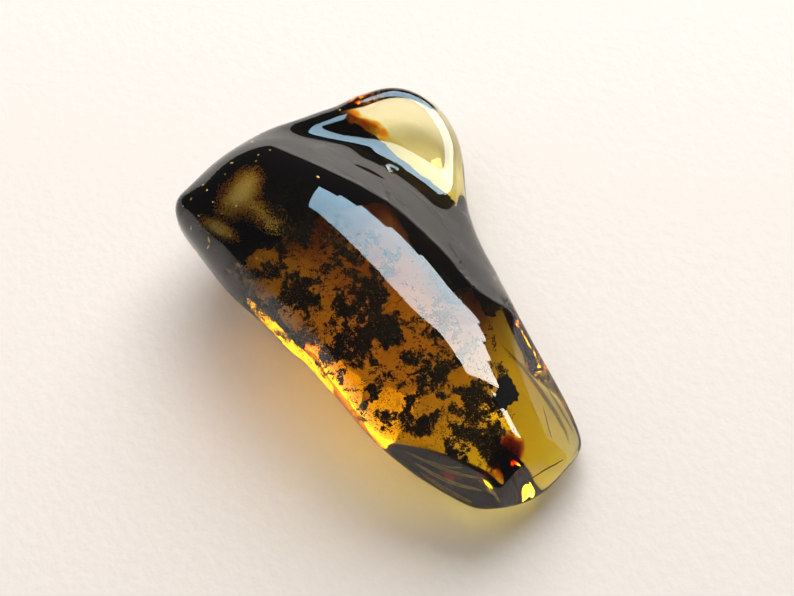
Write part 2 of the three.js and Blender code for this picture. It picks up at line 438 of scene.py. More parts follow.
def absorbing(name, colour, ior, per_mm, **kw):
    """Clear resin that takes away this much of each colour per millimetre."""
    d = max(per_mm) * 1000 / 0.98
    return see_through(name, colour, ior, tuple(1 - v * 1000 / d for v in per_mm), d, **kw)


M_AMBER = absorbing("amber_clear", (1.0, 0.99, 0.965), IOR, (0.003, 0.011, 0.075), roughness=(0.0, 0.02), bump=0.000012)
M_HONEY = absorbing("amber_honey", (1, 1, 1), 1.0, (0.003, 0.030, 0.28), roughness=(0.0, 0.0))
M_STAIN = absorbing("amber_stain", (1, 1, 1), 1.0, (0.58, 0.90, 1.7), roughness=(0.0, 0.0))
M_RED = absorbing("amber_red", (1, 1, 1), 1.0, (1.4, 3.4, 5.0), roughness=(0.0, 0.0))
M_DEBRIS = solid("debris_dark", [(0.30, (0.0015, 0.001, 0.0008)), (0.55, (0.005, 0.003, 0.0015)), (0.80, (0.022, 0.011, 0.004))], 5200)
M_CHIP = solid("bark_chip", [(0.30, (0.002, 0.002, 0.0015)), (0.60, (0.006, 0.005, 0.004)), (0.85, (0.02, 0.016, 0.014))], 2600, (0.55, 0.95), 0.00010, 0.06)
# spangle colour: a gold tint that is partly a painted glint, bright so the flakes shine like light mirrored by tiny
# flaws
M_GOLD_GLINT = solid("spangle", [(0.25, (0.75, 0.40, 0.05)), (0.55, (1.0, 0.66, 0.14)), (0.8, (1.0, 0.85, 0.40))], 6000, (0.15, 0.4), 0.00001, 0.6)
M_HAZE = solid("ochre_dust", [(0.25, (0.42, 0.36, 0.17)), (0.55, (0.56, 0.48, 0.23)), (0.8, (0.66, 0.58, 0.32))], 5000)
M_FIRE = absorbing("amber_fire", (1, 1, 1), 1.0, (0.16, 1.15, 4.0), roughness=(0.0, 0.0))
# olive streak colour: painted reflection, the olive tone the bevel shows from the light it bends and mirrors
M_OLIVE_REFLECTION = solid("olive_painted_reflection", [(0.25, (0.06, 0.042, 0.006)), (0.55, (0.20, 0.145, 0.02)), (0.8, (0.40, 0.30, 0.05))], 1400)
# dark streak resin: painted reflection, absorbing bands standing in for the dark stripes that bent light shows inside
# the clear end
M_DARK_REFLECTION = absorbing("dark_painted_reflection", (1, 1, 1), 1.0, (2.6, 2.9, 4.2), roughness=(0.0, 0.0))
M_ORANGE = solid("orange_grain", [(0.25, (0.65, 0.17, 0.0)), (0.55, (1.0, 0.36, 0.01)), (0.8, (1.0, 0.55, 0.05))], 5000)

# =====================================================================
# the resin body
# =====================================================================
NICK_P, _, NICK_N, _ = look([(391.0, 170.0)])


def stone_with_nick(P):
    f = stone(P)
    q = P - (NICK_P[0] + NICK_N[0] * 0.62)
    near = (np.abs(q) < 2.5).all(-1)
    if near.any():
        d = np.linalg.norm(q, axis=-1) - 0.95
        f = np.where(near, smax(f, -d, 0.12), f)
    return f


V, Q = skin(stone_with_nick, 0.23, (-25.3, -15.7, -1.11), (27.6, 21.4, 17.2))
V[np.abs(V[:, 2]) < 1e-4, 2] = 0.0
amber = piece("amber_body", V, Q, M_AMBER)
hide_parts("amber")

# =====================================================================
# warmer resin filling the body, thinning away under the clear lobe
# =====================================================================
LOBE_A, LOBE_B = seen_at([(352, 106), (452, 210)], 5.0)[0]
along = LOBE_B[:2] - LOBE_A[:2]
LOBE_N = np.array([-along[1], along[0], 0.0]) / np.linalg.norm(along)      # towards the lobe
HONEY_N = LOBE_N * 0.80 + np.array([0, 0, 0.60])


def honey(P):
    return smax(stone(P) + 0.55, plane(P, HONEY_N, LOBE_A - LOBE_N * 0.5), 1.0)


V, Q = skin(honey, 0.5, (-24.3, -14.7, 0.07), (26.6, 20.4, 16.2))
piece("honey_body", V, Q, M_HONEY)

# =====================================================================
# stained resin: it fills the wide end and goes on as a thin sheet under the
# dome, thinning to nothing towards the clear end, the lobe and the left rim
# =====================================================================
LOBE_PX = [(341, 101), (350, 108), (357, 117), (366, 121), (376, 122), (384, 130), (383, 137), (376, 142)]
SIDE_PX = [(402, 168), (430, 188), (458, 209), (473, 232), (488, 261), (501, 290),
           (496, 316), (494, 345), (500, 376), (512, 415), (500, 440), (490, 466), (455, 452), (425, 440),
           (398, 430), (376, 412), (352, 382), (330, 346), (306, 318), (282, 294), (258, 278)]


def poly_distance(P, poly):
    """Signed distance to a closed polygon, positive inside."""
    d = np.full(len(P), 1e9)
    inside = np.zeros(len(P), bool)
    for a, b in zip(poly, np.roll(poly, -1, 0)):
        e = b - a
        w = P - a
        t = np.clip((w @ e) / (e @ e), 0, 1)
        d = np.minimum(d, np.linalg.norm(w - t[:, None] * e, axis=1))
        c = (a[1] <= P[:, 1]) != (b[1] <= P[:, 1])
        xs = a[0] + (P[:, 1] - a[1]) * e[0] / (e[1] if abs(e[1]) > 1e-9 else 1e-9)
        inside ^= c & (P[:, 0] < xs)
    return np.where(inside, d, -d)


LOBE_EDGE = seen_at(LOBE_PX, 4.5)[0][:, :2]
SIDE_EDGE = seen_at(SIDE_PX, 7.5)[0][:, :2]
SIDE_LINE = seen_at([(300, 138), (330, 152), (350, 162), (370, 172), (385, 181), (400, 190), (415, 201), (430, 212), (443, 224), (455, 236), (464, 248), (471, 260), (478, 273), (485, 287), (491, 300)], 6.0)[0][:, :2]
EDGE = np.concatenate([LOBE_EDGE, SIDE_EDGE, [(-10.5, -20.0), (-32.0, -20.0), (-32.0, LOBE_EDGE[0][1] + 1.0)]])


def room(X, Y, margin):
    """Lowest and highest level at which the stone is at least margin thick around a point."""
    z = np.arange(0.0, 16.01, 0.2)
    f = np.stack([stone(np.stack([X, Y, np.full_like(X, k)], -1)) for k in z], -1) + margin
    has = (f < 0).any(-1)
    i0 = np.clip((f < 0).argmax(-1), 1, None)
    i1 = np.clip(len(z) - 1 - (f[..., ::-1] < 0).argmax(-1), None, len(z) - 2)
    g = lambda i: np.take_along_axis(f, i[..., None], -1)[..., 0]
    lo = z[i0] - 0.2 * np.clip(g(i0) / np.where(has, g(i0) - g(i0 - 1), 1), 0, 1)
    hi = z[i1] + 0.2 * np.clip(-g(i1) / np.where(has, g(i1 + 1) - g(i1), 1), 0, 1)
    return np.where(has, lo, 5.0), np.where(has, hi, 5.0), has


def slot_y(X):
    return np.interp(X, [-19, -16.7, -14.6, -10.4, -5.7, -2.5, 2], [5.0, 5.6, 6.5, 7.0, 8.4, 8.3, 8.3])


def stain_levels(h):
    """Grid over the stained part: how far in from its edge, how deep-dyed, the level of its upper face and its depth."""
    lo, hi = np.array([-23.5, -14.0]), EDGE.max(0) + 1
    nx, ny = np.ceil((hi - lo) / h).astype(int)
    X, Y = np.meshgrid(lo[0] + h * np.arange(nx), lo[1] + h * np.arange(ny), indexing="ij")
    P = np.stack([X.ravel(), Y.ravel()], 1)
    flat = lambda k, o, s: fbm(np.c_[P / k, np.zeros(len(P))], o, s).reshape(nx, ny)
    d = poly_distance(P, EDGE).reshape(nx, ny)
    to_lobe = np.sqrt(((P[:, None] - LOBE_EDGE[None]) ** 2).sum(-1)).min(1).reshape(nx, ny)
    near = np.exp(-(to_lobe / 3.5) ** 2)
    d = d + (0.9 - 0.55 * near) * flat(3.0, 4, 11) + 0.25 * near * flat(0.9, 3, 12)
    bot, top, has = room(X, Y, 0.6)
    left = sstep((-6.5 - Y) / 4)
    full = sstep((-2.5 - 2.8 * left + 2.2 * flat(5.0, 3, 21) - X) / (8.0 - 4.0 * left))
    side = np.sqrt(((P[:, None] - SIDE_LINE[None]) ** 2).sum(-1)).min(1).reshape(nx, ny)
    full = np.maximum(np.maximum(full, near), np.exp(-(side / 3.4) ** 2) * sstep((12 - X) / 5))
    thin = (0.20 + 0.60 * sstep((8 - X) / 14)) * (1 + 0.5 * flat(3.2, 4, 31))
    ceil = top - (2.4 * (1 - full) + 0.25 * full)
    deep = np.maximum(ceil - bot - 0.25, 0)
    T = np.minimum((1 - full) * thin + full * np.minimum(deep * 0.92, 4.2), deep)
    # light crosses the stone to the left rim below a clear slot at the foot of the dome
    back = slot_y(X) - Y
    inside_slot = sstep((X + 17.6) / 1.5) * sstep((1.5 - X) / 3) * sstep((back + 1.0) / 0.5)
    T = np.minimum(T, np.maximum(ceil - (10.9 - 0.957 * back), 0) + 9 * (1 - inside_slot))
    return X, Y, d, near, full, ceil, np.where(has, T, 0), flat


def two_faced(X, Y, mid, T):
    """Closed mesh of a sheet given its middle level and thickness on a grid."""
    nx, ny = X.shape
    T[0, :] = T[-1, :] = 0
    T[:, 0] = T[:, -1] = 0
    T[T < 0.004] = 0
    on = T > 0.0
    cell = on[:-1, :-1] | on[1:, :-1] | on[:-1, 1:] | on[1:, 1:]
    use = np.zeros((nx, ny), bool)
    for a in (0, 1):
        for b in (0, 1):
            use[a:nx - 1 + a, b:ny - 1 + b] |= cell
    # a rim point, where the sheet has no thickness, is shared by both faces and
    # takes the level of the sheet beside it
    rim = use & ~on
    lv, wt = np.zeros((nx, ny)), np.zeros((nx, ny))
    for a in (-1, 0, 1):
        for b in (-1, 0, 1):
            o = np.roll(np.roll(on, a, 0), b, 1)
            lv += np.where(o, np.roll(np.roll(mid, a, 0), b, 1), 0)
            wt += o
    mid = np.where(rim, lv / np.maximum(wt, 1), mid)
    top_id = -np.ones((nx, ny), int)
    bot_id = -np.ones((nx, ny), int)
    top_id[use] = np.arange(use.sum())
    bot_id[on] = use.sum() + np.arange(on.sum())
    bot_id[rim] = top_id[rim]
    V = np.concatenate([np.stack([X, Y, mid + T * 0.5], -1)[use], np.stack([X, Y, mid - T * 0.5], -1)[on]])
    i, j = np.nonzero(cell)
    a, b, c, e = (i, j), (i + 1, j), (i + 1, j + 1), (i, j + 1)
    T1 = np.concatenate([np.stack([top_id[a], top_id[b], top_id[c]], 1), np.stack([top_id[a], top_id[c], top_id[e]], 1)])
    B1 = np.concatenate([np.stack([bot_id[c], bot_id[b], bot_id[a]], 1), np.stack([bot_id[e], bot_id[c], bot_id[a]], 1)])
    keep = ~np.isin(T1, top_id[rim]).all(1)
    F = np.concatenate([T1[keep], B1[keep]])
    used = np.unique(F)
    new = -np.ones(len(V), int)
    new[used] = np.arange(len(used))
    return V[used], new[F]


def drawn_in(V, margin):
    """Points nearer the surface than the margin are moved straight inwards."""
    f = stone(V)
    for _ in range(12):
        bad = f > -margin
        if not bad.any():
            break
        g = gradient(stone, V[bad])
        V[bad] -= g / np.linalg.norm(g, axis=1, keepdims=True) * np.clip(f[bad] + margin + 0.02, 0, 0.6)[:, None]
        f = stone(V)
    return V


X, Y, d, near, full, ceil, T, flat = stain_levels(0.3)
V, F = two_faced(X, Y, ceil - T * 0.5, T * sstep(d / (3.4 - 1.9 * near - 1.6 * sstep((-5 - Y) / 4))))
piece("stain_body", drawn_in(V, 0.3), F, M_STAIN)

# a thin layer of packed dust lies under the deepest of it
X, Y, d, near, full, ceil, T, flat = stain_levels(0.2)
edge = np.minimum(np.minimum((d - 1.1) / 1.6, (full - 0.76) * 3.0), (8.0 - X) / 3.0) + (0.55 - 0.3 * sstep((X + 4) / 5)) * flat(1.3, 5, 41) + 0.25 * flat(0.45, 3, 43)
V, F = two_faced(X, Y, ceil - T * 0.85, 0.14 * sstep(edge / 0.3) * (T > 0.6))
piece("dust_layer", drawn_in(V, 0.45), F, M_DEBRIS)

# and more of it has settled low down under the slot
bot = room(X, Y, 0.6)[0]
edge = np.minimum(np.minimum(4.3 - np.abs(Y - slot_y(X + 2.7) + 0.5), (X + 20.0) / 1.5), (2.5 - X) / 1.5) + 0.5 * flat(1.3, 4, 45)
V, F = two_faced(X, Y, bot + 0.5, 0.14 * sstep(edge / 0.3) * room(X, Y, 0.6)[2])
piece("dust_low", drawn_in(V, 0.45), F, M_DEBRIS)


# lens-shaped patches of stain
def lens(px, depth, rx, ry, thick, turn, seed, lumpy=0.35, sides=40, rings=7):
    P, r, n, ok = look([px])
    c = P[0] + r[0] * depth
    u, v, w = [k[0] for k in basis(n)]
    # long axis along the image direction given by turn
    a = math.radians(turn)
    e = RIGHT * math.cos(a) - UP * math.sin(a)
    u = e - n[0] * (e @ n[0])
    u /= np.linalg.norm(u)
    v = np.cross(w, u)
    V, F = [c + w * thick * 0.5, c - w * thick * 0.5], []
    for k in range(1, rings + 1):
        q = k / rings
        t = np.linspace(0, 2 * np.pi, sides, endpoint=False)
        ed = 1 + lumpy * fbm(np.c_[np.cos(t) * 1.4, np.sin(t) * 1.4, np.full(sides, seed * 3.1)], 3, seed)
        ring = c + (q * rx * ed * np.cos(t))[:, None] * u + (q * ry * ed * np.sin(t))[:, None] * v
        h = thick * 0.5 * (1 - q * q) ** 1.5
        if k < rings:
            V += list(ring + w * h) + list(ring - w * h)
        else:
            V += list(ring)
    ids = lambda k, side: (2 + (k - 1) * 2 * sides + side * sides + np.arange(sides)) if k < rings else (2 + (rings - 1) * 2 * sides + np.arange(sides))
    nxt = lambda q: np.roll(q, -1)
    for side in (0, 1):
        A = ids(1, side)
        tri = np.stack([np.full(sides, side), A, nxt(A)], 1)
        F.append(tri if side == 0 else tri[:, ::-1])
        for k in range(1, rings):
            A, B = ids(k, side), ids(k + 1, side)
            t1, t2 = np.stack([A, B, nxt(B)], 1), np.stack([A, nxt(B), nxt(A)], 1)
            F += [t1, t2] if side == 0 else [t1[:, ::-1], t2[:, ::-1]]
    return np.array(V), np.concatenate(F)


V, F = joined([lens((466, 223), 1.6, 1.5, 0.7, 0.35, 60, 3), lens((500, 294), 1.8, 2.0, 0.8, 0.32, 50, 4),
               lens((383, 92), 2.5, 0.9, 0.35, 0.16, 0, 5), lens((405, 158), 2.2, 2.9, 0.8, 0.10, 32, 6)])
piece("stain_patches", drawn_in(V, 0.2), F, M_STAIN)
V, F = joined([lens((508, 456), 1.9, 2.4, 1.7, 2.3, 118, 8, 0.45), lens((499, 463), 2.0, 1.7, 1.2, 1.6, 30, 9, 0.5)])
piece("red_blob", drawn_in(V, 0.2), F, M_RED)
# the stain ends in a scalloped, fiery edge under the lobe
V, F = joined([lens((349, 105), 1.5, 0.9, 0.6, 0.9, 55, 31, 0.3), lens((355, 115), 1.6, 0.95, 0.7, 1.2, 60, 32, 0.3), lens((365, 122), 1.7, 0.9, 0.6, 1.1, 15, 33, 0.3),
               lens((375, 125), 1.7, 0.9, 0.65, 1.2, 25, 34, 0.3), lens((383, 133), 1.7, 0.95, 0.65, 1.3, 80, 35, 0.3), lens((381, 141), 1.6, 0.8, 0.55, 0.9, 120, 36, 0.3)])
piece("fire_edge", drawn_in(V, 0.2), F, M_FIRE)

# =====================================================================
# plant debris: a ragged sheet of grains under the dome
# =====================================================================
rng = np.random.default_rng(20)
#         x    y    rx   ry  turn  amount   (image points; clumps add, clear patches take away)
PATCHES = [(376, 322, 17, 15, 30, 0.62), (388, 336, 11, 11, 0, 0.50), (352, 312, 12, 9, 0, 0.30),
           (424, 388, 20, 9, 25, 0.50), (462, 431, 16, 9, 20, 0.60), (480, 398, 20, 10, 15, 0.50),
           (404, 424, 20, 9, 30, 0.35), (345, 352, 14, 10, 40, 0.22), (440, 414, 12, 8, 0, 0.30),
           (488, 442, 10, 14, 0, 0.35), (495, 454, 8, 12, 20, 0.45), (414, 404, 14, 8, 30, 0.25), (356, 330, 16, 14, 30, 0.25), (330, 262, 22, 16, 30, 0.12), (330, 300, 16, 14, 0, 0.16), (448, 338, 16, 8, 50, 0.12),
           (384, 290, 9, 5, 30, 0.45), (398, 296, 8, 5, 20, 0.35), (352, 256, 12, 6, 25, 0.30),
           (360, 300, 18, 10, 0, 0.22), (415, 322, 10, 6, 0, 0.20), (372, 400, 12, 18, 0, 0.25),
           (386, 362, 16, 12, 20, -0.34), (432, 402, 9, 7, 0, -0.40), (456, 379, 9, 8, 0, -0.40),
           (336, 270, 18, 12, 30, -0.16), (474, 456, 14, 8, 10, -0.34), (415, 345, 12, 8, 40, -0.22),
           (432, 364, 8, 10, 0, -0.20), (446, 400, 6, 6, 0, -0.25), (410, 306, 10, 10, 0, -0.12),
           (440, 446, 16, 6, 15, -0.30), (398, 404, 9, 7, 0, -0.24), (470, 352, 9, 10, 0, -0.15)]
AREA = np.array([(226, 262), (252, 205), (290, 178), (345, 222), (395, 252), (440, 278), (476, 308), (490, 340),
                 (497, 376), (506, 402), (508, 432), (496, 470), (470, 459), (430, 443), (398, 432), (370, 420),
                 (340, 392), (312, 352), (284, 330), (252, 306)], float)


def bias(px):
    d = poly_distance(px, AREA)
    b = -0.12 + 0.14 * sstep((d + 6) / 26) - 0.9 * sstep((-d - 2) / 16)
    for x, y, rx, ry, turn, amt in PATCHES:
        a = math.radians(turn)
        u, v = px[:, 0] - x, px[:, 1] - y
        e = ((u * math.cos(a) + v * math.sin(a)) / rx) ** 2 + ((-u * math.sin(a) + v * math.cos(a)) / ry) ** 2
        b = b + amt * np.exp(-e)
    return b


def scatter(step, seed, wave, thresh, gain=0.75, octaves=6):
    g = np.stack(np.meshgrid(np.arange(205, 530, step), np.arange(160, 490, step), indexing="ij"), -1).reshape(-1, 2)
    g = g + rng.uniform(-0.6, 0.6, g.shape) * step
    g = g[poly_distance(g, AREA) > -16]
    warp = np.stack([fbm(np.c_[g / 18.0, np.full(len(g), 3.3)], 3, seed + 70), fbm(np.c_[g / 18.0, np.full(len(g), 8.1)], 3, seed + 80)], 1)
    q = (g + 7 * warp) / wave
    v = fbm(np.c_[q, np.full(len(g), 0.7)], octaves, seed, gain) * 1.9 + bias(g)
    keep = v > thresh
    return g[keep], v[keep] - thresh


def inside(P, margin):
    return stone(P) < -margin


# fine grains of the main sheet
g, over = scatter(1.0, 5, 17.0, 0.0)
depth = 2.0 + 0.8 * fbm(np.c_[g / 60.0, np.zeros(len(g))], 3, 91) + rng.normal(0, 0.14, len(g)) + 0.5 * rng.random(len(g)) * np.clip(over * 3, 0, 1)
P, r, n, ok = look(g)
C = P + r * depth[:, None]
ok &= inside(C, 0.35)
C, n, over = C[ok], n[ok], over[ok]
N = n + rng.normal(0, 0.45, n.shape)
size = 0.042 + 0.050 * rng.random(len(C)) ** 2 + 0.045 * np.clip(over * 2, 0, 1)
half = rng.random(len(C)) < 0.5
V, F = flakes(C[half], size[half], N[half], rng, stretch=2.0)
piece("debris_fine_a", V, F, M_DEBRIS, smooth=False)
V, F = flakes(C[~half], size[~half], N[~half], rng, stretch=2.0)
piece("debris_fine_b", V, F, M_DEBRIS, smooth=False)

# the clumps are several grains deep
g, over = scatter(1.2, 5, 17.0, 0.15)
P, r, n, ok = look(g)
C = P + r * (2.5 + 0.8 * fbm(np.c_[g / 60.0, np.zeros(len(g))], 3, 91) + rng.normal(0, 0.15, len(g)))[:, None]
ok &= inside(C, 0.35)
C, n, over = C[ok], n[ok], over[ok]
V, F = flakes(C, 0.072 + 0.06 * rng.random(len(C)) ** 2, n + rng.normal(0, 0.35, n.shape), rng, stretch=1.9)
piece("debris_clumps", V, F, M_DEBRIS, smooth=False)

# dust between them
g, over = scatter(1.1, 57, 7.0, 0.29)
P, r, n, ok = look(g)
C = P + r * (1.9 + 0.8 * fbm(np.c_[g / 60.0, np.zeros(len(g))], 3, 91) + rng.normal(0, 0.25, len(g)))[:, None]
ok &= inside(C, 0.35)
C, n = C[ok], n[ok]
V, F = flakes(C, 0.030 + 0.035 * rng.random(len(C)) ** 2, n + rng.normal(0, 0.45, n.shape), rng, stretch=2.2)
piece("debris_dust", V, F, M_DEBRIS, smooth=False)

# larger scraps among them, single specks outside the sheet, and grains in the left rim
g2, over2 = scatter(5.0, 5, 17.0, 0.15)
P, r, n, ok = look(g2)
C = P + r * (2.1 + rng.normal(0, 0.3, len(g2)))[:, None]
ok &= inside(C, 0.5)
V1 = flakes(C[ok], 0.09 + 0.20 * rng.random(ok.sum()) ** 2, n[ok] + rng.normal(0, 0.4, n[ok].shape), rng, sides=9, flat=0.22, stretch=1.9, rough=0.5)
g3 = rng.uniform((250, 200), (520, 480), (1500, 2))
g3 = g3[poly_distance(g3, AREA) > -8]
P, r, n, ok = look(g3)
C = P + r * rng.uniform(0.5, 5.0, len(g3))[:, None]
ok &= inside(C, 0.4)
V2 = flakes(C[ok], 0.03 + 0.06 * rng.random(ok.sum()) ** 2, n[ok] + rng.normal(0, 0.6, n[ok].shape), rng, sides=6, stretch=2.4)
RIM = np.array([(236, 300), (246, 299), (300, 336), (322, 372), (318, 380), (284, 346), (258, 322)], float)
g4 = rng.uniform((230, 295), (330, 385), (5200, 2))
v4 = fbm(np.c_[g4 / 7.0, np.full(len(g4), 2.2)], 4, 61, 0.7) * 1.6 - 0.12 - 0.30 * sstep((g4[:, 0] - 270) / 50)
g4 = g4[(poly_distance(g4, RIM) > 0) & (v4 > 0)]
P, r, n, ok = look(g4)
C = P + r * rng.uniform(0.5, 1.3, len(g4))[:, None]
ok &= inside(C, 0.2)
V3 = flakes(C[ok], 0.05 + 0.07 * rng.random(ok.sum()) ** 2, n[ok] + rng.normal(0, 0.6, n[ok].shape), rng, sides=5, stretch=2.2)
V, F = joined([V1, V2, V3])
piece("debris_scraps", V, F, M_DEBRIS, smooth=False)

# a soft fan of fine ochre dust, sunk in the stained wide end
#       x    y   long short turn depth share
FAN = [(240, 195, 15, 8.5, 130, 1.32, 0.50), (255, 208, 19, 8, 32, 1.62, 0.24), (219, 229, 11, 4.5, 28, 1.18, 0.16), (246, 184, 9, 7, 120, 1.4, 0.10)]
px, dp = [], []
for x, y, long_, short, turn, depth, share in FAN:
    q = rng.normal(0, 1, (int(17000 * share), 2))
    q = q[(q ** 2).sum(1) < 5.5] * (long_, short)
    a = math.radians(turn)
    px.append(np.stack([x + q[:, 0] * math.cos(a) - q[:, 1] * math.sin(a), y + q[:, 0] * math.sin(a) + q[:, 1] * math.cos(a)], 1))
    dp.append(depth + 0.22 * ((q / (long_, short)) ** 2).sum(1) + rng.normal(0, 0.12, len(q)))
px, dp = np.concatenate(px), np.concatenate(dp)
P, r, n, ok = look(px)
C = P + r * dp[:, None]
ok &= inside(C, 0.35)
V, F = flakes(C[ok], 0.034 + 0.028 * rng.random(ok.sum()), n[ok] + rng.normal(0, 0.25, n[ok].shape), rng, stretch=1.5)
piece("ochre_dust", V, F, M_HAZE, smooth=False)

# bright spangle flakes near the surface: their bright colour is partly a gold tint and partly a painted glint, standing
# in for light mirrored by tiny flaws in the resin
SPARK = [(252, 142, 2), (258, 155, 1), (256, 161, 2), (225, 174, 1), (203, 185, 2), (207, 190, 1), (191, 199, 2), (183, 206, 1),
         (213, 202, 1), (191, 228, 2), (209, 240, 3), (208, 247, 3), (257, 258, 2), (261, 260, 2), (318, 177, 2), (340, 110, 1), (244, 128, 1),
         (236, 206, 1), (222, 214, 1), (270, 150, 1), (232, 163, 1), (199, 216, 1), (230, 236, 1), (247, 176, 1)]
px = np.array([(x, y) for x, y, k in SPARK], float)
P, r, n, ok = look(px)
C = P + r * rng.uniform(0.35, 0.8, len(px))[:, None]
ok &= inside(C, 0.12)
sz = np.array([0.06 + 0.045 * k for _, _, k in SPARK])
V, F = flakes(C[ok], sz[ok], n[ok] + rng.normal(0, 0.25, n[ok].shape), rng, sides=6, flat=0.25, stretch=1.7)
piece("painted_glint_spangles", V, F, M_GOLD_GLINT, smooth=False)

# one orange grain at the left edge of the sheet
P, r, n, ok = look([(366, 396)])
V, F = flakes(P + r * 1.1, np.array([0.42]), n, rng, sides=12, flat=0.5, stretch=1.35, rough=0.25)
piece("orange_grain", V, F, M_ORANGE)

# an angular chip of bark that the polish has laid open
CHIP_PX = [(497, 378), (500.5, 379.5), (502.5, 375.5), (507, 373.5), (509, 377.5), (511.5, 379), (513, 384), (515.5, 386), (516, 390),
           (519.5, 394.5), (517.5, 397), (518, 401.5), (514, 401), (510.5, 405.5), (508, 404), (506, 411), (503.5, 408), (499, 408.5),
           (497.5, 403), (493.5, 398.5), (496.5, 395), (496, 391), (499.5, 388), (498.5, 383)]
P, r, n, ok = look(CHIP_PX)
Pc, rc, nc, _ = look([(506, 392)])
top = P + n * 0.035
low = Pc + (P - Pc) * 0.72 - nc * 1.15 + rng.normal(0, 0.12, P.shape)
k = len(P)
V = np.concatenate([top, low, Pc + nc * 0.05, Pc - nc * 1.35])
F = []
for i in range(k):
    j = (i + 1) % k
    F += [(i, 2 * k, j), (j, k + j, i), (i, k + j, k + i), (k + i, k + j, 2 * k + 1)]
F = np.array(F)
a, b, c = V[F[0]]
if np.cross(b - a, c - a) @ nc[0] < 0:
    F = F[:, ::-1]
piece("bark_chip", V, F, M_CHIP, smooth=False)


# hairline cracks: thin dark blades standing under the surface
def blade(px, width, deep):
    q = np.array(px, float)
    t = np.linspace(0, len(q) - 1, 26)
    q = np.stack([np.interp(t, np.arange(len(q)), q[:, i]) for i in (0, 1)], 1)
    q = q + 0.5 * fbm(np.c_[q / 5.0, np.full(len(q), 4.4)], 3, 77)[:, None]
    P, r, n, ok = look(q)
    d = np.gradient(P, axis=0)
    s = np.cross(n, d)
    s /= np.linalg.norm(s, axis=1, keepdims=True)
    taper = (np.sin(np.linspace(0.04, math.pi - 0.04, len(q))) ** 0.5)[:, None]
    A = P - n * 0.10
    B = A - n * deep * taper + s * deep * 0.15
    M_ = (A + B) * 0.5
    V = np.concatenate([A, M_ + s * width * taper, B, M_ - s * width * taper])
    m_ = len(q)
    F = []
    for i in range(m_ - 1):
        for a_ in range(4):
            b_ = (a_ + 1) % 4
            F.append((a_ * m_ + i, a_ * m_ + i + 1, b_ * m_ + i + 1))
            F.append((a_ * m_ + i, b_ * m_ + i + 1, b_ * m_ + i))
    e = m_ - 1
    F += [(0, m_, 2 * m_), (0, 2 * m_, 3 * m_), (e, 2 * m_ + e, m_ + e), (e, 3 * m_ + e, 2 * m_ + e)]
    return V, np.array(F)


V, F = joined([blade([(543, 405), (547, 418), (550, 430), (553, 441)], 0.028, 0.35), blade([(528, 482), (543, 472), (554, 466), (564, 460)], 0.022, 0.3)])
piece("hairlines", drawn_in(V, 0.04), F, M_CHIP)

# curved streaks, olive ones close under the bevel and darker ones along the clear end: painted reflection, standing in
# for the bands that the facets show by bending and mirroring light
V, F = joined([blade([(405, 452), (424, 461), (444, 470), (464, 476), (484, 479)], 0.20, 0.10), blade([(414, 463), (432, 474), (450, 483), (468, 488), (482, 491)], 0.24, 0.10),
               blade([(424, 460), (438, 465), (450, 468), (462, 468)], 0.12, 0.08), blade([(420, 473), (438, 486), (456, 496), (472, 503)], 0.30, 0.10),
               blade([(489, 487), (495, 495), (500, 503)], 0.14, 0.08)])
piece("bevel_painted_reflection", drawn_in(V, 0.04), F, M_OLIVE_REFLECTION)
# the darker streaks along the clear end are painted reflection
V, F = joined([blade([(501, 344), (524, 367), (540, 388), (555, 410), (566, 430), (570, 444)], 0.46, 0.55),
               blade([(524, 354), (540, 376), (555, 398), (567, 419), (575, 434)], 0.26, 0.40)])
piece("end_painted_reflection", drawn_in(V, 0.04), F, M_DARK_REFLECTION)

# small pits and specks held at the surface
PITS = [(366, 170, 2), (386, 179, 2), (407, 207, 2), (415, 208, 1), (434, 220, 2), (457, 241, 2), (461, 240, 2), (379, 92, 2), (408, 92, 1),
        (453, 186, 1), (345, 152, 1), (372, 168, 1), (421, 205, 1), (328, 140, 1), (300, 131, 1), (443, 232, 1), (470, 250, 1), (451, 196, 1)]
px = np.array([(x, y) for x, y, k in PITS], float)
P, r, n, ok = look(px)
V, F = flakes(P - n * 0.09, np.array([0.05 + 0.04 * k for _, _, k in PITS]), n + rng.normal(0, 0.1, n.shape), rng, sides=7, flat=0.3, stretch=1.6)
piece("specks", V, F, M_DEBRIS, smooth=False)

# =====================================================================
# floor, light, camera
# =====================================================================
m, nt, b, out = new_material("pale_floor")
t = speckle(nt, 900, 4.0, 0.6)
r_ = ramp(nt, t.outputs["Fac"], [(0.3, (0.865, 0.805, 0.75)), (0.7, (0.885, 0.825, 0.77))])
nt.links.new(r_.outputs["Color"], b.inputs["Base Color"])
b.inputs["Roughness"].default_value = 0.85
b.inputs["Specular IOR Level"].default_value = 0.2
bp = node(nt, "ShaderNodeBump", Strength=0.25, Distance=0.0002)
nt.links.new(t.outputs["Fac"], bp.inputs["Height"])
nt.links.new(bp.outputs["Normal"], b.inputs["Normal"])
me = bpy.data.meshes.new("floor")
S = 3.0
me.from_pydata([(-S, -S, 0), (S, -S, 0), (S, S, 0), (-S, S, 0)], [], [(0, 1, 2, 3)])
floor = bpy.data.objects.new("floor", me)
floor.location.z = -0.00003
bpy.context.scene.collection.objects.link(floor)
me.materials.append(m)
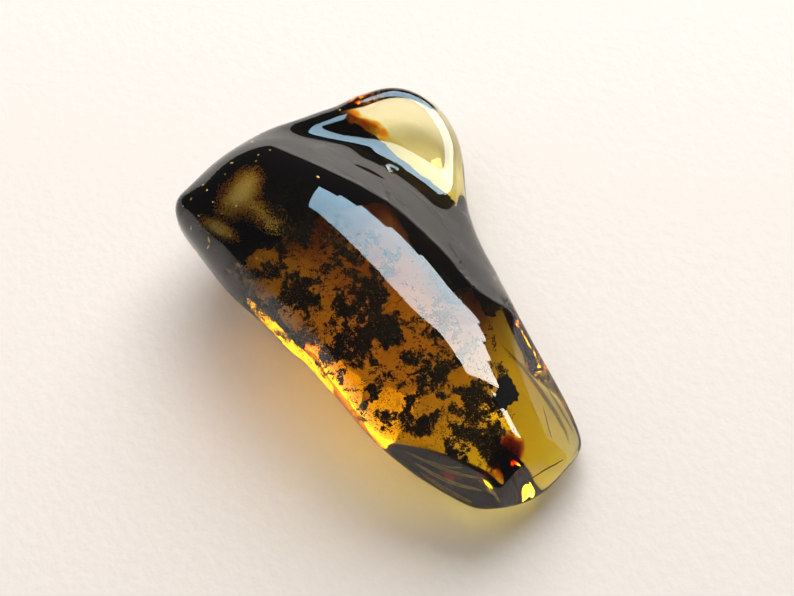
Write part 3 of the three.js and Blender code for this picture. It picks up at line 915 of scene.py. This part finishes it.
floor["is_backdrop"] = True


def panel(name, azimuth, elevation, distance, u, v, radiance, colour, rays):
    """A flat lamp facing the stone: u and v are its sides, across and up, as shares of the distance."""
    a, e = math.radians(azimuth), math.radians(elevation)
    d = Vector((math.cos(a) * math.cos(e), math.sin(a) * math.cos(e), math.sin(e)))
    across = Vector((math.sin(a), -math.cos(a), 0))
    up = across.cross(-d)
    up = up if up.z > 0 else -up
    L = bpy.data.lights.new(name, "AREA")
    L.shape = "RECTANGLE"
    L.size, L.size_y = (u[1] - u[0]) * distance, (v[1] - v[0]) * distance
    L.energy = radiance * math.pi * L.size * L.size_y
    L.color = colour
    o = bpy.data.objects.new(name, L)
    bpy.context.scene.collection.objects.link(o)
    at = (d + across * (u[0] + u[1]) / 2 + up * (v[0] + v[1]) / 2) * distance + Vector((0, 0, 0.008))
    m = Matrix.Identity(4)
    for i in range(3):
        m[i][0], m[i][1], m[i][2], m[i][3] = -across[i], up[i], d[i], at[i]
    o.matrix_world = m
    o.visible_diffuse, o.visible_glossy, o.visible_transmission = (k in rays for k in ("diffuse", "glossy", "transmission"))
    return o


# a window-like bank of narrow panels, cooler at one end, for the polish to mirror, lamps
# that shine through the resin, and softer ones that light the floor
WINDOW = [(-0.56, -0.40, -0.14, 0.36, 8.4, (0.50, 0.78, 1.0)), (-0.40, -0.26, -0.19, 0.38, 8.6, (0.53, 0.80, 1.0)),
          (-0.26, -0.12, -0.24, 0.385, 8.8, (0.58, 0.83, 1.0)), (-0.12, 0.02, -0.29, 0.38, 8.9, (0.66, 0.87, 1.0)),
          (0.02, 0.14, -0.32, 0.37, 9.0, (0.80, 0.92, 1.0)), (0.14, 0.25, -0.32, 0.36, 9.4, (0.96, 0.98, 1.0)),
          (0.25, 0.36, -0.29, 0.35, 10.8, (1.0, 0.985, 0.96)), (0.36, 0.45, -0.24, 0.34, 12.2, (1.0, 0.98, 0.93)),
          (0.45, 0.53, -0.18, 0.33, 12.8, (1.0, 0.98, 0.92)), (0.55, 0.635, -0.10, 0.0, 12.8, (1.0, 0.98, 0.92))]
for i, (u0, u1, v0, v1, L, c) in enumerate(WINDOW):
    panel("window_%d" % i, 108, 28, 0.6, (u0, u1), (v0, v1), L, c, "glossy")
panel("through", 152, 32, 0.6, (-0.38, 0.24), (-0.30, 0.35), 12.0, (1.0, 0.985, 0.965), "transmission")
panel("through_window", 126, 32, 0.6, (-0.20, 0.24), (-0.30, 0.32), 3.2, (1.0, 0.985, 0.965), "transmission")
panel("through_low", 98, 19, 0.6, (-0.36, 0.36), (-0.22, 0.22), 23.0, (1.0, 0.985, 0.965), "transmission")
panel("through_top", 200, 74, 0.9, (-0.6, 0.6), (-0.6, 0.6), 1.0, (1.0, 0.985, 0.965), "transmission")
panel("soft_key", 136, 37, 0.6, (-0.55, 0.55), (-0.35, 0.35), 5.8, (1.0, 0.985, 0.975), "diffuse")
panel("soft_side", 165, 34, 0.9, (-0.8, 0.8), (-0.5, 0.6), 0.6, (1.0, 0.985, 0.975), "diffuse")
panel("soft_left", 214, 36, 0.9, (-0.6, 0.6), (-0.5, 0.5), 0.95, (1.0, 0.985, 0.975), "diffuse")
panel("soft_top", 0, 89, 1.2, (-1.0, 1.0), (-1.0, 1.0), 0.10, (1.0, 0.97, 0.94), "diffuse")
w = bpy.data.worlds.new("studio")
w.use_nodes = True
w.node_tree.nodes["Background"].inputs[0].default_value = (1.0, 0.98, 0.95, 1)
w.node_tree.nodes["Background"].inputs[1].default_value = 0.10
bpy.context.scene.world = w

cam = bpy.data.cameras.new("camera")
cam.lens, cam.sensor_width = LENS, 36
cam.clip_start, cam.clip_end = 0.005, 50
co = bpy.data.objects.new("camera", cam)
bpy.context.scene.collection.objects.link(co)
M = Matrix.Identity(4)
eye = row(EYE)
for i in range(3):
    M[i][0], M[i][1], M[i][2], M[i][3] = RIGHT[i], UP[i], BACK[i], eye[i]
co.matrix_world = M
sc = bpy.context.scene
sc.camera = co
sc.cycles.max_bounces = 24
sc.cycles.transmission_bounces = 24
sc.cycles.glossy_bounces = 10
sc.cycles.diffuse_bounces = 4
sc.cycles.transparent_max_bounces = 16
sc.cycles.caustics_reflective = True
sc.cycles.caustics_refractive = True
sc.cycles.blur_glossy = 0.6
sc.cycles.sample_clamp_indirect = 12.0
sc.cycles.use_denoising = True
sc.view_settings.view_transform = "Standard"
sc.view_settings.look = "None"
sc.view_settings.exposure = 0.0

VIS_BOX = [list(map(float, c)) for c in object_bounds()]
